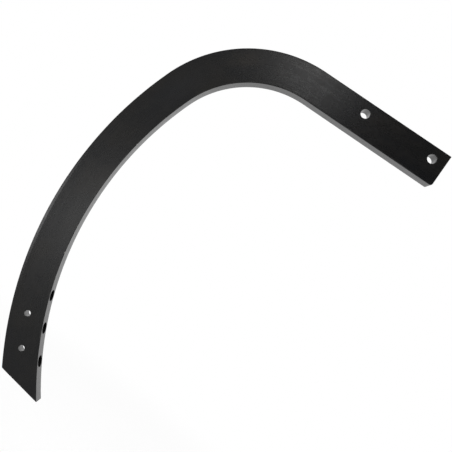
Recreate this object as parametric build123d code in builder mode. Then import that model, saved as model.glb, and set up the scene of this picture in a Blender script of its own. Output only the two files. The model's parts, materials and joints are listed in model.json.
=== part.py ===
from build123d import *
from math import degrees
import os

# Tillage shank: one flat bar of spring steel, bent edgewise in two radii and drilled.
# Millimetres. +X points forward along the level mounting leg, +Z up, Y across the bar.
# The origin is midway between the two frame bolts, in the middle of the bar's thickness.

# Bar stock, rolled with rounded corners
bar_width = 76.2
bar_thickness = 31.75
bar_corner_radius = 2.0

# Straight mounting leg, from its square front end to the start of the top bend
leg_length = 322.0
leg_corner_radius = 5.5
frame_bolt_hole = 20.6
frame_bolt_spacing = 170.0
frame_bolt_to_front_end = 31.0
frame_bolt_below_top_edge = 27.0

# Bends, with radii on the concave edge, and the short straight between them
top_bend_inside_radius = 220.0
top_bend_angle = 71.0
back_straight = 8.0
lower_bend_inside_radius = 750.0

# Point bolts, through the bar's width and square to its curved edges, counted downward
top_point_bolt_along_bend = 540.2
point_bolt_hole = 24.6
point_bolt_pitch = 75.0
point_bolt_count = 3

# Side holes, through the thickness, one close above each point bolt but the top one
side_hole = 13.8
side_hole_to_bolt_wall = 8.0

# Foot, cropped by one straight cut that falls forward from the heel to the tip
heel_to_bolt_wall = 3.1
foot_cut_slope = 8.5

# Broken edge at the rim of every hole in the flat sides
hole_rim_chamfer = 1.5

# Places that follow from the sizes above
centreline_z = frame_bolt_below_top_edge - bar_width / 2
leg_front_x = frame_bolt_spacing / 2 + frame_bolt_to_front_end
top_bend_radius = top_bend_inside_radius + bar_width / 2
lower_bend_radius = lower_bend_inside_radius + bar_width / 2
last_point_bolt_along_bend = top_point_bolt_along_bend + (point_bolt_count - 1) * point_bolt_pitch
heel_along_bend = last_point_bolt_along_bend + point_bolt_hole / 2 + heel_to_bolt_wall
uncut_along_bend = heel_along_bend + 2 * bar_width
side_hole_above_bolt = side_hole / 2 + side_hole_to_bolt_wall + point_bolt_hole / 2


# Plane on the centreline of the lower bend that looks out of the bar's concave edge
def facing_concave_edge(along_bend):
    point = lower_bend.position_at(along_bend, position_mode=PositionMode.LENGTH)
    heading = lower_bend.tangent_at(along_bend, position_mode=PositionMode.LENGTH)
    return Plane(origin=point, x_dir=heading, z_dir=heading.rotate(Axis.Y, -90))


with BuildPart() as shank:
    # Centreline of the bar, drawn from the front end of the leg down to past the foot
    with BuildLine(Plane.XZ) as centreline:
        leg = Line((leg_front_x, centreline_z), (leg_front_x - leg_length, centreline_z))
        top_bend = JernArc(leg @ 1, leg % 1, top_bend_radius, top_bend_angle)
        back = Line(top_bend @ 1, top_bend @ 1 + (top_bend % 1) * back_straight)
        lower_bend_angle = degrees(uncut_along_bend / lower_bend_radius)
        lower_bend = JernArc(back @ 1, back % 1, lower_bend_radius, lower_bend_angle)

    # Rolled section carried round both bends
    with BuildSketch(Plane(origin=leg @ 0, x_dir=(0, 1, 0), z_dir=leg % 0)):
        RectangleRounded(bar_thickness, bar_width, bar_corner_radius)
    sweep()

    # Front end, with its lower corner rounded off
    leg_corner = (leg_front_x, centreline_z - bar_width / 2)
    with BuildSketch(Plane.XZ):
        with Locations(leg_corner):
            Rectangle(leg_corner_radius, leg_corner_radius, align=(Align.MAX, Align.MIN))
        with Locations((leg_front_x - leg_corner_radius, leg_corner[1] + leg_corner_radius)):
            Circle(leg_corner_radius, mode=Mode.SUBTRACT)
    extrude(amount=bar_thickness, both=True, mode=Mode.SUBTRACT)

    # Foot, cropped from the heel on the convex edge forward and down to the tip
    heel = facing_concave_edge(heel_along_bend).offset(-bar_width / 2)
    foot_cut = Plane(origin=heel.origin, z_dir=Vector(0, 0, 1).rotate(Axis.Y, foot_cut_slope))
    split(bisect_by=foot_cut, keep=Keep.TOP)

    # Holes through the flat sides: frame bolts in the leg, side holes near the foot
    near_side = Plane.XZ.offset(bar_thickness / 2)
    point_bolts = [top_point_bolt_along_bend + i * point_bolt_pitch for i in range(point_bolt_count)]
    side_holes = [facing_concave_edge(bolt - side_hole_above_bolt).origin for bolt in point_bolts[1:]]
    with Locations(near_side):
        with GridLocations(frame_bolt_spacing, 0, 2, 1):
            Hole(frame_bolt_hole / 2)
        with Locations(*[(hole.X, hole.Z) for hole in side_holes]):
            Hole(side_hole / 2)
    hole_rims = shank.edges().filter_by(GeomType.CIRCLE).filter_by(lambda rim: rim.is_closed)
    chamfer(hole_rims, hole_rim_chamfer)

    # Point bolt holes, drilled from the concave edge to the convex edge
    for bolt in point_bolts:
        with BuildSketch(facing_concave_edge(bolt)):
            Circle(point_bolt_hole / 2)
        extrude(amount=bar_width, both=True, mode=Mode.SUBTRACT)

shank.part.label = "shank"

os.makedirs("parts", exist_ok=True)
export_step(shank.part, "parts/shank.step")
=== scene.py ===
import json
from math import acos, atan2, copysign, cos, pi, radians, sin, sqrt, tan

import bmesh
import bpy
from mathutils import Euler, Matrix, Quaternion, Vector


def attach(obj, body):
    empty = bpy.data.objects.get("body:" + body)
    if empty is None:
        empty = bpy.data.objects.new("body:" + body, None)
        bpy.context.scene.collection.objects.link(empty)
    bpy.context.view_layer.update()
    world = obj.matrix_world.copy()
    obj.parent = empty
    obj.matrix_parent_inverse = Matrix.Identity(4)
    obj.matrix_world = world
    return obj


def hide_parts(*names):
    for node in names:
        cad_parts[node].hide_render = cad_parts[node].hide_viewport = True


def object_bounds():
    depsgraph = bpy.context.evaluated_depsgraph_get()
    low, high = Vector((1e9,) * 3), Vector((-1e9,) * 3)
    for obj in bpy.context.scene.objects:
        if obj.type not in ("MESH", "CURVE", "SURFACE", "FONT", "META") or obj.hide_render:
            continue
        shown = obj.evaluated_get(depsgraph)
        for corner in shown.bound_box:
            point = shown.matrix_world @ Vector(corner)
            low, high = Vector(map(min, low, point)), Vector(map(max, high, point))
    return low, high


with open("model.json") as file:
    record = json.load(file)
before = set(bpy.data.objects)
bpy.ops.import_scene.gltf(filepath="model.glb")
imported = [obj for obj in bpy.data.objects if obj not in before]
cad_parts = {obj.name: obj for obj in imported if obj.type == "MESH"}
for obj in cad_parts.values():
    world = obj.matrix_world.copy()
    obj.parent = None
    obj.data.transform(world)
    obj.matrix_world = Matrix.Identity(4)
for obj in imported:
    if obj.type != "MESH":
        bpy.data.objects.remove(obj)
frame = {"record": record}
cadLow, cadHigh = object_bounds()
mounts = {mount["name"]: mount for mount in frame["record"]["mounts"]}
scene = bpy.context.scene
print("frame loaded")

# Metres, in the part's own frame: +X forward along the level leg, +Z up, Y across the bar.
# A place on the bar is told by three numbers: how far along the centreline from the front end,
# how far across (minus at the convex edge, plus at the concave edge), and y from the middle plane.

barForm = {
    "width": 0.0762,
    "thickness": 0.03175,
    "corner": 0.0014,            # rolled corners
    "easeFrom": 0.0078,          # the sides fall away slightly this close to the convex edge,
    "easeBlend": 0.002,          # after this much of a blend
    "easeSlope": 7.5,            # by this angle,
    "easeRun": (0.770, 0.865),   # coming in over this stretch of the lower bend
    "frontEnd": 0.116,           # x of the sawn front end
    "topEdge": 0.027,            # z of the leg's upper edge
    "legLength": 0.322,
    "topBendInside": 0.220,
    "topBendAngle": 71.0,
    "backStraight": 0.008,
    "lowerBendInside": 0.750,
    "heelAlongBend": 0.7056,     # where the foot's cut leaves the convex edge
    "footSlope": 8.5,            # fall of the foot's cut from heel to tip, in degrees
    "frontLowerCorner": 0.0055,  # round of the front end's lower corner
    "cutEdge": 0.0006,           # edge of the front end and of the foot, broken with a file
    "ringStep": 0.008,
    "bendStep": 1.5,             # degrees between rings round the top bend
    "frontRun": 0.024,           # the rings here gather towards the front end
    "footRun": 0.150,            # the rings here lean towards the foot's cut
    "cornerSteps": 6,
    "flatStep": 0.007,
}


class BarLine:
    # the centreline: leg, top bend, short straight, lower bend

    def __init__(self, form):
        self.half = form["width"] / 2
        self.start = Vector((form["frontEnd"], form["topEdge"] - self.half))
        self.legLength = form["legLength"]
        self.topRadius = form["topBendInside"] + self.half
        self.topTurn = radians(form["topBendAngle"])
        self.backStraight = form["backStraight"]
        self.lowRadius = form["lowerBendInside"] + self.half
        self.backHeading = pi + self.topTurn
        self.topStart = self.start - Vector((self.legLength, 0))
        self.topCentre = self.topStart + self.toThroat(pi) * self.topRadius
        self.backStart = self.topCentre - self.toThroat(self.backHeading) * self.topRadius
        self.lowStart = self.backStart + self.along(self.backHeading) * self.backStraight
        self.lowCentre = self.lowStart + self.toThroat(self.backHeading) * self.lowRadius
        self.topBegins = self.legLength
        self.backBegins = self.topBegins + self.topRadius * self.topTurn
        self.lowBegins = self.backBegins + self.backStraight

    def along(self, heading):
        return Vector((cos(heading), sin(heading)))

    def toThroat(self, heading):
        return Vector((-sin(heading), cos(heading)))

    def place(self, station, across):
        # the point x, z at a distance along the bar and across it
        if station < self.topBegins:
            return self.start + self.along(pi) * station + self.toThroat(pi) * across
        if station < self.backBegins:
            heading = pi + (station - self.topBegins) / self.topRadius
            return self.topCentre - self.toThroat(heading) * (self.topRadius - across)
        if station < self.lowBegins:
            run = self.along(self.backHeading) * (station - self.backBegins)
            return self.backStart + run + self.toThroat(self.backHeading) * across
        heading = self.backHeading + (station - self.lowBegins) / self.lowRadius
        return self.lowCentre - self.toThroat(heading) * (self.lowRadius - across)

    def measure(self, x, z):
        # the reverse: how far along and across the bar a point x, z lies
        if x >= self.topStart.x:
            return self.start.x - x, self.start.y - z
        heading, radius = self.seenFrom(self.topCentre, x, z)
        if heading <= self.backHeading:
            return self.topBegins + (heading - pi) * self.topRadius, self.topRadius - radius
        heading, radius = self.seenFrom(self.lowCentre, x, z)
        if heading >= self.backHeading:
            turned = heading - self.backHeading
            return self.lowBegins + turned * self.lowRadius, self.lowRadius - radius
        arm = Vector((x, z)) - self.backStart
        return (self.backBegins + arm.dot(self.along(self.backHeading)),
                arm.dot(self.toThroat(self.backHeading)))

    def seenFrom(self, centre, x, z):
        arm = Vector((x, z)) - centre
        return atan2(arm.x, -arm.y) % (2 * pi), arm.length


barLine = BarLine(barForm)


def barSection(form):
    # the rolled section, once round: across, y, the outward direction, and how far the point
    # has fallen in where the side eases off
    half, side = form["width"] / 2, form["thickness"] / 2
    radius, steps = form["corner"], form["cornerSteps"]
    blend, slope = form["easeBlend"], tan(radians(form["easeSlope"]))

    def eased(across):
        # how far the side has fallen away near the convex edge
        past = max(0.0, form["easeFrom"] - half - across)
        return slope * (past ** 2 / (2 * blend) if past < blend else past - blend / 2)

    def spread(first, last, step):
        count = max(1, round(abs(last - first) / step))
        return [first + (last - first) * i / count for i in range(count + 1)]

    def corner(centreAcross, centreY, fromAngle):
        for i in range(1, steps):
            angle = fromAngle - pi / 2 * i / steps
            out = cos(angle), sin(angle)
            fall = eased(-flat) if centreAcross < 0 else 0
            yield centreAcross + radius * out[0], centreY + radius * out[1], *out, fall

    ring = []
    flat, inner = half - radius, side - radius
    for y in spread(-inner, inner, form["flatStep"]):
        ring.append((-half, y, -1, 0, eased(-flat) * abs(y) / inner))
    ring += corner(-flat, inner, pi)
    easeEnd = form["easeFrom"] - half
    roundFrom = half - form["frontLowerCorner"]
    acrossSide = spread(-flat, easeEnd, form["easeBlend"] / 3)
    acrossSide += spread(easeEnd, roundFrom, form["flatStep"])[1:]
    acrossSide += spread(roundFrom, flat, form["flatStep"] / 4)[1:]
    for across in acrossSide:
        ring.append((across, side, 0, 1, eased(across)))
    ring += corner(flat, inner, pi / 2)
    for y in spread(inner, -inner, form["flatStep"]):
        ring.append((half, y, 1, 0, 0))
    ring += corner(flat, -inner, 0)
    for across in reversed(acrossSide):
        ring.append((across, -side, 0, -1, eased(across)))
    ring += corner(-flat, -inner, -pi / 2)
    return ring


def easeShare(form, station):
    begins, ends = form["easeRun"]
    share = min(1.0, max(0.0, (station - begins) / (ends - begins)))
    return share ** 2 * (3 - 2 * share)


def frontStation(form, across, away):
    # where the front end's face lies, with its lower corner rounded, plus a distance away from it
    radius = form["frontLowerCorner"]
    into = max(0.0, across - (form["width"] / 2 - radius))
    return radius - sqrt(max(0.0, radius ** 2 - into ** 2)) + away


def footStation(form, line, across, away):
    # where the foot's cut lies on the arc that runs at this distance across the bar
    fall = radians(form["footSlope"])
    heel = line.place(line.lowBegins + form["heelAlongBend"], -line.half)
    arm = line.lowCentre - heel
    height = arm.x * sin(fall) + arm.y * cos(fall) - away
    heading = 2 * pi - acos(height / (line.lowRadius - across)) - fall
    return line.lowBegins + (heading - line.backHeading) * line.lowRadius


def ringShares(form, line):
    # each ring as a function that gives its station for a point at some distance across
    frontRun = form["frontRun"]
    footFrom = line.lowBegins + form["heelAlongBend"] - form["footRun"]
    broken, brokenSteps = form["cutEdge"], 3

    def even(first, last, step):
        count = max(1, round((last - first) / step))
        return [first + (last - first) * i / count for i in range(count)]

    stations = even(frontRun, line.topBegins, form["ringStep"])
    stations += even(line.topBegins, line.backBegins, radians(form["bendStep"]) * line.topRadius)
    stations += even(line.backBegins, line.lowBegins, form["ringStep"])
    stations += even(line.lowBegins, footFrom, form["ringStep"])
    rings = []
    for i in range(brokenSteps + 1):
        turn = pi / 2 * i / brokenSteps
        inset, away = broken * (1 - sin(turn)), broken * (1 - cos(turn))
        rings.append((inset, lambda a, away=away: frontStation(form, a, away)))
    frontRings = 4
    for i in range(1, frontRings):
        share = i / frontRings
        rings.append((0, lambda a, share=share:
                      frontStation(form, a, broken) * (1 - share) + frontRun * share))
    for station in stations:
        rings.append((0, lambda a, station=station: station))
    footRings = round(form["footRun"] / form["ringStep"])
    for i in range(footRings):
        share = i / footRings
        rings.append((0, lambda a, share=share:
                      footFrom * (1 - share) + footStation(form, line, a, broken) * share))
    for i in range(brokenSteps + 1):
        turn = pi / 2 * i / brokenSteps
        inset, away = broken * (1 - cos(turn)), broken * (1 - sin(turn))
        rings.append((inset, lambda a, away=away: footStation(form, line, a, away)))
    return rings


def sweptBar(form, line):
    section = barSection(form)
    count = len(section)
    mesh = bmesh.new()
    rings = []
    for inset, station in ringShares(form, line):
        ring = []
        for across, y, outAcross, outY, fall in section:
            across -= inset * outAcross
            along = station(across)
            point = line.place(along, across)
            y -= inset * outY + copysign(fall * easeShare(form, along), y)
            ring.append(mesh.verts.new((point.x, y, point.y)))
        rings.append(ring)
    for one, two in zip(rings, rings[1:]):
        for i in range(count):
            j = (i + 1) % count
            mesh.faces.new((one[i], one[j], two[j], two[i]))
    lastBack = sum(1 for point in section if point[2] == -1) - 1
    for ring in (rings[0], rings[-1]):
        closeEnd(mesh, ring, lastBack, count)
    bmesh.ops.recalc_face_normals(mesh, faces=mesh.faces)
    return mesh


def closeEnd(mesh, ring, lastBack, count):
    # a ladder of faces from one side of the bar to the other
    def twin(i):
        return (lastBack - i) % count

    firstThroat = lastBack + 1
    while twin(firstThroat) - firstThroat > lastBack + 1:
        firstThroat += 1
    mesh.faces.new([ring[twin(lastBack + 1)]] + [ring[i] for i in range(lastBack + 2)])
    for i in range(lastBack + 1, firstThroat - 1):
        mesh.faces.new((ring[i], ring[i + 1], ring[twin(i + 1)], ring[twin(i)]))
    throat = range(firstThroat - 1, twin(firstThroat - 1) + 1)
    mesh.faces.new([ring[i] for i in throat])


holeForm = {
    "rimRound": 0.0015,          # soft rim of the holes through the sides
    "edgeRimRound": 0.0004,      # rim of the point bolt holes, which are left sharper
    "rimSteps": 5,
    "around": 72,
    "beyond": 0.001,
}


def holeTool(mesh, centre, axis, radius, reach, rim, form):
    # a plug with flared ends, which cuts a hole with rounded rims
    axis = Vector(axis).normalized()
    side = axis.orthogonal().normalized()
    other = axis.cross(side)
    profile = [(radius, 0.0)]
    for i in range(form["rimSteps"] + 1):
        angle = radians(75) * i / form["rimSteps"]
        profile.append((radius + rim * (1 - cos(angle)), reach - rim * (1 - sin(angle))))
    flared = profile[-1][0] + (rim + form["beyond"]) * tan(radians(60))
    profile.append((flared, reach + form["beyond"]))
    profile = [(r, -t) for r, t in reversed(profile[1:])] + profile[1:]
    rings = []
    for r, t in profile:
        ring = []
        for i in range(form["around"]):
            angle = 2 * pi * i / form["around"]
            point = Vector(centre) + axis * t + side * (r * cos(angle)) + other * (r * sin(angle))
            ring.append(mesh.verts.new(point))
        rings.append(ring)
    for one, two in zip(rings, rings[1:]):
        for i in range(form["around"]):
            j = (i + 1) % form["around"]
            mesh.faces.new((one[i], one[j], two[j], two[i]))
    mesh.faces.new(rings[0])
    mesh.faces.new(rings[-1])


def holeTools(form, bar):
    mesh = bmesh.new()
    side = bar["thickness"] / 2
    frame = mounts["frame_bolts"]
    spacing = frame["dims"]["spacing_x_mm"] / 1000
    radius = frame["dims"]["hole_r_mm"] / 1000
    for x in (-spacing / 2, spacing / 2):
        centre = Vector(frame["pos_m"]) + Vector((x, 0, 0))
        holeTool(mesh, centre, frame["axis"], radius, side, form["rimRound"], form)
    for name, mount in mounts.items():
        if mount["kind"] != "bore":
            continue
        radius = mount["dims"]["r_mm"] / 1000
        throughSide = name.startswith("side_hole")
        reach = side if throughSide else bar["width"] / 2
        rim = form["rimRound"] if throughSide else form["edgeRimRound"]
        holeTool(mesh, mount["pos_m"], mount["axis"], radius, reach, rim, form)
    bmesh.ops.recalc_face_normals(mesh, faces=mesh.faces)
    return mesh


def toObject(mesh, name):
    data = bpy.data.meshes.new(name)
    mesh.to_mesh(data)
    mesh.free()
    thing = bpy.data.objects.new(name, data)
    scene.collection.objects.link(thing)
    return thing


def applied(thing):
    # the object with its modifiers worked into its mesh
    evaluated = thing.evaluated_get(bpy.context.evaluated_depsgraph_get())
    data = bpy.data.meshes.new_from_object(evaluated)
    thing.modifiers.clear()
    thing.data = data
    return thing


def makeShank():
    shank = toObject(sweptBar(barForm, barLine), "shank_bar")
    tools = toObject(holeTools(holeForm, barForm), "hole_tools")
    cut = shank.modifiers.new("holes", "BOOLEAN")
    cut.operation = "DIFFERENCE"
    cut.solver = "EXACT"
    cut.object = tools
    applied(shank)
    bpy.data.objects.remove(tools)
    data = shank.data
    data.shade_smooth()
    data.set_sharp_from_angle(angle=radians(35))
    weighted = shank.modifiers.new("flatSides", "WEIGHTED_NORMAL")
    weighted.keep_sharp = True
    weighted.weight = 100
    applied(shank)
    places = shank.data.attributes.new("barPlace", "FLOAT_VECTOR", "POINT")
    for vertex, place in zip(shank.data.vertices, places.data):
        along, across = barLine.measure(vertex.co.x, vertex.co.z)
        place.vector = (along, across, vertex.co.y)
    return shank


shank = makeShank()
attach(shank, "root")
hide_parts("shank")
print("shank made", len(shank.data.polygons), "faces")

# Materials

def node(tree, kind, inputs=(), **settings):
    made = tree.nodes.new(kind)
    for name, value in settings.items():
        setattr(made, name, value)
    for name, value in dict(inputs).items():
        if isinstance(value, bpy.types.NodeSocket):
            tree.links.new(value, made.inputs[name])
        else:
            made.inputs[name].default_value = value
    return made


paint = {
    "black": (0.0072, 0.0073, 0.0080),
    "warm": (0.0150, 0.0128, 0.0105),   # brownish where the coat is thin
    "cool": (0.0085, 0.0092, 0.0112),
    "rubbed": (0.050, 0.048, 0.046),    # corners rubbed in handling
    "bare": (0.42, 0.41, 0.39),         # bright steel in a fresh chip
    "roughness": 0.27,
    # Lighter patches on the near side: partly dust on the coat, partly painted sheen that stands in
    # for the room's reflection
    "dustAndSheenPatches": [
        # along, across (metres), half length, half width, strength, warm (1) or cool (0)
        (0.485, -0.012, 0.060, 0.026, 0.9, 1.0),
        (0.640, 0.004, 0.110, 0.042, 0.6, 0.0),
        (0.350, -0.006, 0.070, 0.050, 0.3, 0.3),
        (1.010, 0.016, 0.060, 0.020, 0.5, 0.6),
    ],
    "chips": [
        # along, across, y and half length of each bright nick
        (1.087, 0.0376, -0.0153, 0.0021),
        (1.022, 0.0378, -0.0155, 0.0014),
        (0.791, 0.0377, -0.0154, 0.0014),
        (0.204, 0.0379, 0.0152, 0.0015),
        (0.702, -0.0378, 0.0150, 0.0018),
        (0.560, -0.0379, 0.0020, 0.0016),
    ],
}


def blackPaint():
    material = bpy.data.materials.new("black_paint")
    material.use_nodes = True
    tree = material.node_tree
    tree.nodes.clear()
    place = node(tree, "ShaderNodeAttribute", attribute_name="barPlace").outputs["Vector"]
    parts = node(tree, "ShaderNodeSeparateXYZ", {0: place})
    along, across, through = parts.outputs[0], parts.outputs[1], parts.outputs[2]

    def math(kind, one, two=0.0, three=0.0):
        return node(tree, "ShaderNodeMath", {0: one, 1: two, 2: three}, operation=kind).outputs[0]

    def vectorMath(kind, one, two):
        return node(tree, "ShaderNodeVectorMath", {0: one, 1: two}, operation=kind)

    def noise(stretch, scale, detail, roughness=0.5, offset=(0, 0, 0)):
        spread = vectorMath("MULTIPLY", place, stretch).outputs[0]
        moved = vectorMath("ADD", spread, offset).outputs[0]
        return node(tree, "ShaderNodeTexNoise", {"Vector": moved, "Scale": scale, "Detail": detail,
                                                 "Roughness": roughness}).outputs["Fac"]

    def ramp(value, start, end, low=0.0, high=1.0, kind="SMOOTHSTEP"):
        return node(tree, "ShaderNodeMapRange", {"Value": value, "From Min": start, "From Max": end,
                                                 "To Min": low, "To Max": high},
                    interpolation_type=kind).outputs[0]

    def blend(factor, one, two):
        mix = node(tree, "ShaderNodeMix", data_type="RGBA")
        for name, value in (("Factor", factor), ("A", one), ("B", two)):
            socket = next(i for i in mix.inputs if i.name == name and i.enabled)
            if isinstance(value, bpy.types.NodeSocket):
                tree.links.new(value, socket)
            else:
                socket.default_value = value if name == "Factor" else (*value, 1)
        return next(o for o in mix.outputs if o.enabled)

    def spot(centre, reach, edge=0.2):
        # 1 in the middle of an ellipsoid on the bar, 0 outside it
        arm = vectorMath("SUBTRACT", place, centre).outputs[0]
        arm = vectorMath("DIVIDE", arm, reach).outputs[0]
        return ramp(vectorMath("LENGTH", arm, (0, 0, 0)).outputs["Value"], 1.0, edge, 0.0, 1.0)

    # Cloudy tone of the coat: long soft clouds, and finer mottling inside them
    clouds = noise((1.0, 1.6, 1.6), 9.0, 3.0)
    mottle = noise((1.0, 1.3, 1.3), 55.0, 4.0, 0.6, (3.1, 7.7, 1.9))
    streaks = noise((5.0, 170.0, 170.0), 1.0, 4.0, 0.55, (11.0, 2.0, 5.0))
    grain = noise((1.0, 1.0, 1.0), 420.0, 2.0, 0.5, (1.0, 4.0, 8.0))

    colour = blend(ramp(clouds, 0.45, 0.72, 0.0, 0.55), paint["black"], paint["warm"])
    colour = blend(ramp(clouds, 0.50, 0.28, 0.0, 0.55), colour, paint["cool"])
    colour = blend(ramp(mottle, 0.42, 0.75, 0.0, 0.35), colour, paint["warm"])
    near = -barForm["thickness"] / 2
    # lighter patches, partly dust and partly painted sheen, lifted to 1.35 times the coat's tone
    for middle, side, length, width, strength, warm in paint["dustAndSheenPatches"]:
        dustAndSheen = math("MULTIPLY", spot((middle, side, near), (length, width, 0.02), 0.1),
                    ramp(mottle, 0.25, 0.6, 0.35, 1.0))
        tone = tuple(c + (w - c) * warm for c, w in zip(paint["cool"], paint["warm"]))
        colour = blend(math("MULTIPLY", dustAndSheen, strength), colour, tuple(1.35 * t for t in tone))

    # Corners rubbed in handling, in broken runs
    half, side = barForm["width"] / 2, barForm["thickness"] / 2
    byEdge = ramp(math("ABSOLUTE", across), half - 0.0035, half - 0.0006)
    bySide = ramp(math("ABSOLUTE", through), side - 0.0030, side - 0.0005)
    corner = math("MULTIPLY", byEdge, bySide)
    runs = ramp(noise((26.0, 60.0, 60.0), 1.0, 4.0, 0.65, (6.0, 1.0, 9.0)), 0.50, 0.68)
    rubbed = math("MULTIPLY", corner, runs)
    colour = blend(math("MULTIPLY", rubbed, 0.75), colour, paint["rubbed"])

    # Small nicks down to bare steel
    nicked = None
    for middle, aside, y, reach in paint["chips"]:
        nick = spot((middle, aside, y), (reach * 1.3, reach * 0.8, reach * 0.8), 0.45)
        nicked = nick if nicked is None else math("MAXIMUM", nicked, nick)
    colour = blend(nicked, colour, paint["bare"])

    roughness = math("ADD", ramp(streaks, 0.3, 0.7, -0.02, 0.03, "LINEAR"),
                     ramp(mottle, 0.3, 0.7, paint["roughness"] - 0.025, paint["roughness"] + 0.035,
                          "LINEAR"))
    roughness = math("ADD", roughness, ramp(rubbed, 0.0, 1.0, 0.0, 0.08))
    height = math("ADD", math("MULTIPLY", streaks, 0.5), math("MULTIPLY", grain, 0.3))
    height = math("ADD", height, math("MULTIPLY", mottle, 0.8))
    height = math("SUBTRACT", height, math("MULTIPLY", nicked, 2.0))
    bump = node(tree, "ShaderNodeBump", {"Height": height, "Strength": 0.35, "Distance": 0.00025})
    surface = node(tree, "ShaderNodeBsdfPrincipled", {
        "Base Color": colour,
        "Roughness": roughness,
        "Metallic": math("MULTIPLY", nicked, 0.8),
        "IOR": 1.6,
        "Normal": bump.outputs[0],
    })
    out = node(tree, "ShaderNodeOutputMaterial")
    tree.links.new(surface.outputs["BSDF"], out.inputs["Surface"])
    return material


shank.data.materials.clear()
shank.data.materials.append(blackPaint())

studio = {
    "floorDrop": 0.25,           # the foot hangs this far over the floor
    "floorSize": 16.0,
    "diffuseLevel": 0.55,
    # what the gloss of the paint sees of the room: from, to (of the direction), level, level
    "leftWall": (-0.20, 0.06, 0.25, 0.03),
    "rightWall": (0.35, 0.8, 0.0, 0.30),
    "ceiling": (0.42, 0.8, 1.0, 0.1),
    "backdrop": (0.55, 0.85, 0.0, 1.0),
    "frontFloor": 0.26,
}


def paleFloor():
    mesh = bmesh.new()
    bmesh.ops.create_grid(mesh, x_segments=1, y_segments=1, size=studio["floorSize"] / 2)
    floor = toObject(mesh, "floor")
    floor.location = (-0.2, 0, cadLow.z - studio["floorDrop"])
    material = bpy.data.materials.new("floor_white")
    material.use_nodes = True
    tree = material.node_tree
    tree.nodes.clear()
    path = node(tree, "ShaderNodeLightPath")
    seen = node(tree, "ShaderNodeMath", {0: path.outputs["Is Camera Ray"],
                                         1: path.outputs["Is Transmission Ray"]}, operation="MAXIMUM")
    place = node(tree, "ShaderNodeTexCoord")
    far = node(tree, "ShaderNodeVectorMath", {0: place.outputs["Object"]}, operation="LENGTH")
    fade = node(tree, "ShaderNodeMapRange", {"Value": far.outputs["Value"], "From Min": 0.7,
                                            "From Max": 1.6}, interpolation_type="SMOOTHSTEP")
    fade = node(tree, "ShaderNodeMath", {0: seen.outputs[0], 1: fade.outputs[0]}, operation="MULTIPLY")
    matt = node(tree, "ShaderNodeBsdfDiffuse", {"Color": (0.82, 0.82, 0.82, 1)})
    glow = node(tree, "ShaderNodeEmission", {"Color": (1, 1, 1, 1)})
    lift = node(tree, "ShaderNodeMath", {0: seen.outputs[0], 1: 0.3}, operation="MULTIPLY")
    tree.links.new(lift.outputs[0], glow.inputs["Strength"])
    near = node(tree, "ShaderNodeAddShader", {0: matt.outputs[0], 1: glow.outputs[0]})
    white = node(tree, "ShaderNodeEmission", {"Color": (1, 1, 1, 1), "Strength": 1.0})
    both = node(tree, "ShaderNodeMixShader", {0: fade.outputs[0], 1: near.outputs[0],
                                              2: white.outputs[0]})
    # the gloss sees a white floor behind the bar and a dim one in front of it
    parts = node(tree, "ShaderNodeSeparateXYZ", {0: place.outputs["Object"]})
    behind = node(tree, "ShaderNodeMapRange", {"Value": parts.outputs["Y"], "From Min": 0.0,
                                               "From Max": 0.5, "To Min": studio["frontFloor"],
                                               "To Max": 1.0}, interpolation_type="SMOOTHSTEP")
    mirrored = node(tree, "ShaderNodeEmission", {"Color": (1, 1, 1, 1),
                                                 "Strength": behind.outputs[0]})
    shown = node(tree, "ShaderNodeMixShader", {0: path.outputs["Is Glossy Ray"],
                                               1: both.outputs[0], 2: mirrored.outputs[0]})
    out = node(tree, "ShaderNodeOutputMaterial")
    tree.links.new(shown.outputs[0], out.inputs["Surface"])
    floor.data.materials.append(material)
    return floor


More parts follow.
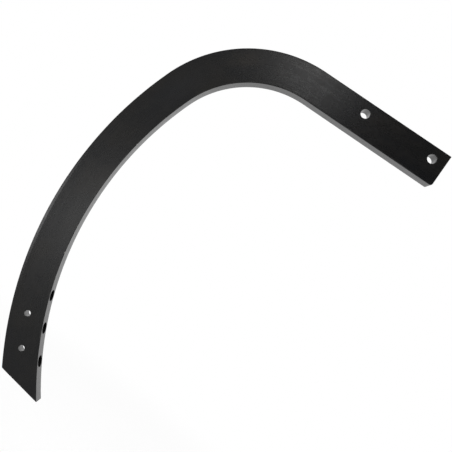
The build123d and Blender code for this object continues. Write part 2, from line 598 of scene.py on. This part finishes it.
def whiteSurround():
    world = bpy.data.worlds.new("surround")
    scene.world = world
    world.use_nodes = True
    tree = world.node_tree
    tree.nodes.clear()
    path = node(tree, "ShaderNodeLightPath")
    place = node(tree, "ShaderNodeTexCoord")
    direction = node(tree, "ShaderNodeSeparateXYZ", {0: place.outputs["Generated"]})

    def ramp(axis, start, end, low, high):
        # a soft step along one axis of the direction
        step = node(tree, "ShaderNodeMapRange", {
            "Value": direction.outputs[axis], "From Min": start, "From Max": end,
            "To Min": low, "To Max": high}, interpolation_type="SMOOTHSTEP")
        return step.outputs[0]

    def math(kind, one, two):
        return node(tree, "ShaderNodeMath", {0: one, 1: two}, operation=kind).outputs[0]

    left = ramp("X", *studio["leftWall"])
    right = ramp("X", *studio["rightWall"])
    ceiling = ramp("Z", *studio["ceiling"])
    backdrop = ramp("Y", *studio["backdrop"])
    room = math("MULTIPLY", math("ADD", left, right), ceiling)
    shown = node(tree, "ShaderNodeMix", {"Factor": backdrop, "A": room, "B": 1.18})
    gloss = node(tree, "ShaderNodeMix", {"Factor": path.outputs["Is Glossy Ray"],
                                         "A": studio["diffuseLevel"], "B": shown.outputs[0]})
    seen = node(tree, "ShaderNodeMath", {0: path.outputs["Is Camera Ray"],
                                         1: path.outputs["Is Transmission Ray"]}, operation="MAXIMUM")
    level = node(tree, "ShaderNodeMix", {"Factor": seen.outputs[0], "A": gloss.outputs[0], "B": 1.0})
    light = node(tree, "ShaderNodeBackground", {"Color": (1, 1, 1, 1), "Strength": level.outputs[0]})
    out = node(tree, "ShaderNodeOutputWorld")
    tree.links.new(light.outputs[0], out.inputs["Surface"])


def softLamp(name, place, aim, size, power, gloss=True):
    data = bpy.data.lights.new(name, "AREA")
    data.shape = "DISK"
    data.size = size
    data.energy = power
    lamp = bpy.data.objects.new(name, data)
    scene.collection.objects.link(lamp)
    lamp.location = place
    lamp.rotation_euler = (Vector(aim) - Vector(place)).to_track_quat("-Z", "Y").to_euler()
    lamp.visible_glossy = gloss
    lamp.visible_camera = False
    return lamp


paleFloor()
whiteSurround()
softLamp("overhead", (-0.2, -0.2, 1.7), (-0.2, 0, -0.4), 2.0, 30, gloss=False)
softLamp("upper_box", (-0.32, -1.5, 0.66), (-0.25, 0, -0.1), 0.34, 0.74)
softLamp("lower_box", (-0.62, -1.5, -0.62), (-0.45, 0, -0.6), 0.55, 1.0)
softLamp("left_box", (-1.41, -1.28, -0.78), (-0.48, 0, -0.62), 0.50, 1.9)
print("studio made")

view = {
    "place": (-0.1610, -1.1444, -0.4417),
    "turn": 3.215,               # degrees to the left of straight ahead
    "rise": 1.679,
    "roll": -35.348,             # the camera is rolled, so that the level leg falls to the right
    "sensor": 36.0,
    "lens": 42.21,
    "shift": (0.0526, 0.0127),
}


def makeCamera():
    data = bpy.data.cameras.new("camera")
    data.sensor_width = view["sensor"]
    data.lens = view["lens"]
    data.shift_x, data.shift_y = view["shift"]
    camera = bpy.data.objects.new("camera", data)
    scene.collection.objects.link(camera)
    level = Euler((radians(90 + view["rise"]), 0, radians(view["turn"]))).to_quaternion()
    camera.rotation_mode = "QUATERNION"
    camera.rotation_quaternion = level @ Quaternion((0, 0, 1), radians(-view["roll"]))
    camera.location = view["place"]
    scene.camera = camera


makeCamera()
scene.view_settings.view_transform = "Standard"
print("camera made")
